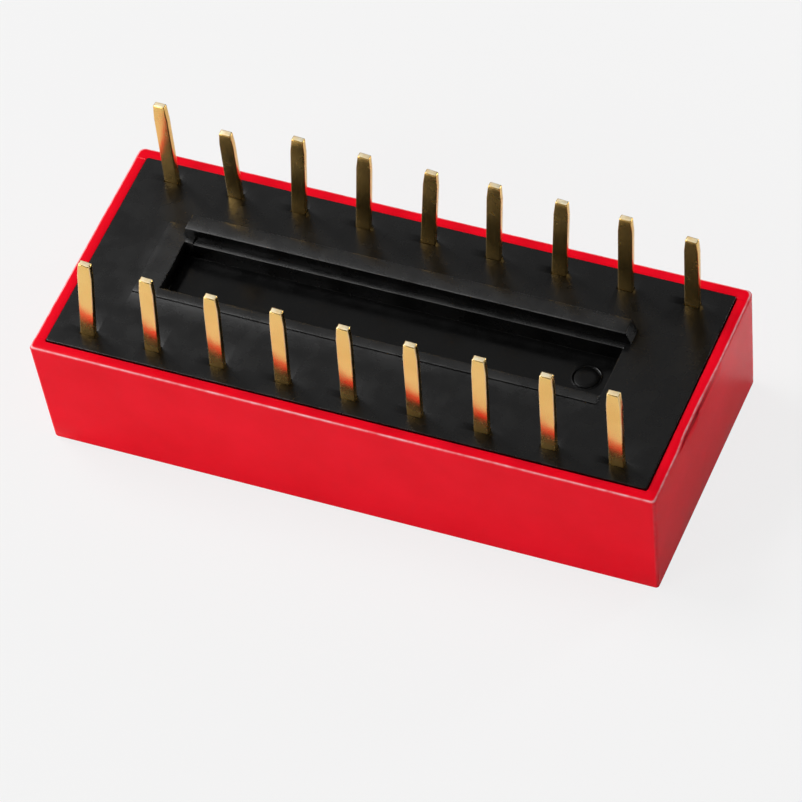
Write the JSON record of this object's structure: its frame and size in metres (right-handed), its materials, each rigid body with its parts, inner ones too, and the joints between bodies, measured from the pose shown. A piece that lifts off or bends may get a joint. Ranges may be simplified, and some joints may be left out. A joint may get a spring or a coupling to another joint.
{
  "type": "dip switch",
  "caption": "Slide switch block in a dual in-line package: red cover shell, black base with two rows of straight gold-plated terminals, and recessed white sliders.",
  "frame": {"origin": "centre of the cover's closed face, which it rests on", "axes": "+X along the row of positions from 1 to 9, -Y across it along the sliders' travel from OFF to ON, +Z along the terminals"},
  "size_m": [0.024, 0.0102, 0.0089],
  "materials": {
    "cover_plastic": "smooth gloss red moulding",
    "base_plastic": "fine matte black moulding",
    "terminal_plating": "bright gold plating over copper alloy",
    "slider_plastic": "smooth white moulding",
    "spring_plating": "gold-plated spring strip"
  },
  "bodies": {
    "housing": {"cover": "cover_plastic", "base": "base_plastic", "terminal_front_1": "terminal_plating", "terminal_front_2": "terminal_plating", "terminal_front_3": "terminal_plating", "terminal_front_4": "terminal_plating", "terminal_front_5": "terminal_plating", "terminal_front_6": "terminal_plating", "terminal_front_7": "terminal_plating", "terminal_front_8": "terminal_plating", "terminal_front_9": "terminal_plating", "terminal_back_1": "terminal_plating", "terminal_back_2": "terminal_plating", "terminal_back_3": "terminal_plating", "terminal_back_4": "terminal_plating", "terminal_back_5": "terminal_plating", "terminal_back_6": "terminal_plating", "terminal_back_7": "terminal_plating", "terminal_back_8": "terminal_plating", "terminal_back_9": "terminal_plating"},
    "slider_1": {"actuator_1": "slider_plastic", "contact_spring_1": "spring_plating"},
    "slider_2": {"actuator_2": "slider_plastic", "contact_spring_2": "spring_plating"},
    "slider_3": {"actuator_3": "slider_plastic", "contact_spring_3": "spring_plating"},
    "slider_4": {"actuator_4": "slider_plastic", "contact_spring_4": "spring_plating"},
    "slider_5": {"actuator_5": "slider_plastic", "contact_spring_5": "spring_plating"},
    "slider_6": {"actuator_6": "slider_plastic", "contact_spring_6": "spring_plating"},
    "slider_7": {"actuator_7": "slider_plastic", "contact_spring_7": "spring_plating"},
    "slider_8": {"actuator_8": "slider_plastic", "contact_spring_8": "spring_plating"},
    "slider_9": {"actuator_9": "slider_plastic", "contact_spring_9": "spring_plating"}
  },
  "joints": [
    {"name": "slide_1", "type": "slide", "parent": "housing", "child": "slider_1", "axis": [0, -1, 0], "range_m": [0, 0.002]},
    {"name": "slide_2", "type": "slide", "parent": "housing", "child": "slider_2", "axis": [0, -1, 0], "range_m": [0, 0.002]},
    {"name": "slide_3", "type": "slide", "parent": "housing", "child": "slider_3", "axis": [0, -1, 0], "range_m": [0, 0.002]},
    {"name": "slide_4", "type": "slide", "parent": "housing", "child": "slider_4", "axis": [0, -1, 0], "range_m": [0, 0.002]},
    {"name": "slide_5", "type": "slide", "parent": "housing", "child": "slider_5", "axis": [0, -1, 0], "range_m": [0, 0.002]},
    {"name": "slide_6", "type": "slide", "parent": "housing", "child": "slider_6", "axis": [0, -1, 0], "range_m": [0, 0.002]},
    {"name": "slide_7", "type": "slide", "parent": "housing", "child": "slider_7", "axis": [0, -1, 0], "range_m": [0, 0.002]},
    {"name": "slide_8", "type": "slide", "parent": "housing", "child": "slider_8", "axis": [0, -1, 0], "range_m": [0, 0.002]},
    {"name": "slide_9", "type": "slide", "parent": "housing", "child": "slider_9", "axis": [0, -1, 0], "range_m": [0, 0.002]}
  ]
}
